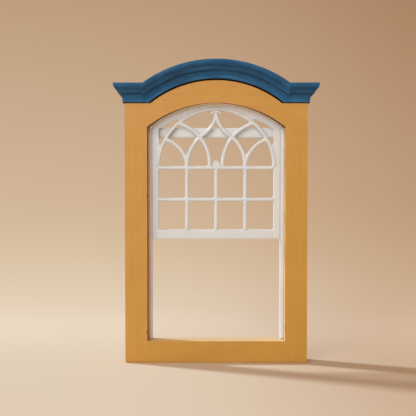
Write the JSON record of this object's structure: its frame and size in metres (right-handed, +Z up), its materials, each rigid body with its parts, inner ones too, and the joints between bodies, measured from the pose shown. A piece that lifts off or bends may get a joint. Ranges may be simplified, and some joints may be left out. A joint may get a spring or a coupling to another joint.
{
  "type": "miniature arched top sash window frame",
  "caption": "Painted wooden miniature window: arched frame under a moulded hood, with a raised sash of pointed tracery over an open lower half.",
  "frame": {"origin": "middle of the bottom of the overall box, on the surface that the bottom rail stands on", "axes": "+Z up, -Y out of the front face towards the viewer, +X to the right seen from the front"},
  "size_m": [0.098, 0.0144, 0.1455],
  "materials": {
    "yellow_paint": "brushed matt paint",
    "blue_paint": "brushed matt paint",
    "white_paint": "brushed satin paint"
  },
  "bodies": {
    "root": {"arched_head": "yellow_paint", "bottom_rail": "yellow_paint", "centre_cap": "white_paint", "centre_lower_mullion": "white_paint", "centre_upper_mullion": "white_paint", "hood_arch": "blue_paint", "left_crown_leaf": "white_paint", "left_guide_strip": "white_paint", "left_haunch_arc": "white_paint", "left_hood_end": "blue_paint", "left_jamb": "yellow_paint", "left_lower_mullion": "white_paint", "left_lower_ogee": "white_paint", "left_sash_stile": "white_paint", "left_sweep_arc": "white_paint", "left_upper_mullion": "white_paint", "left_upper_ogee": "white_paint", "lower_bar": "white_paint", "rear_crossbar": "white_paint", "right_crown_leaf": "white_paint", "right_guide_strip": "white_paint", "right_haunch_arc": "white_paint", "right_hood_end": "blue_paint", "right_jamb": "yellow_paint", "right_lower_mullion": "white_paint", "right_lower_ogee": "white_paint", "right_sash_stile": "white_paint", "right_sweep_arc": "white_paint", "right_upper_mullion": "white_paint", "right_upper_ogee": "white_paint", "sash_arched_top": "white_paint", "sash_bottom_rail": "white_paint", "sash_ring": "white_paint", "springing_bar": "white_paint"}
  },
  "joints": []
}
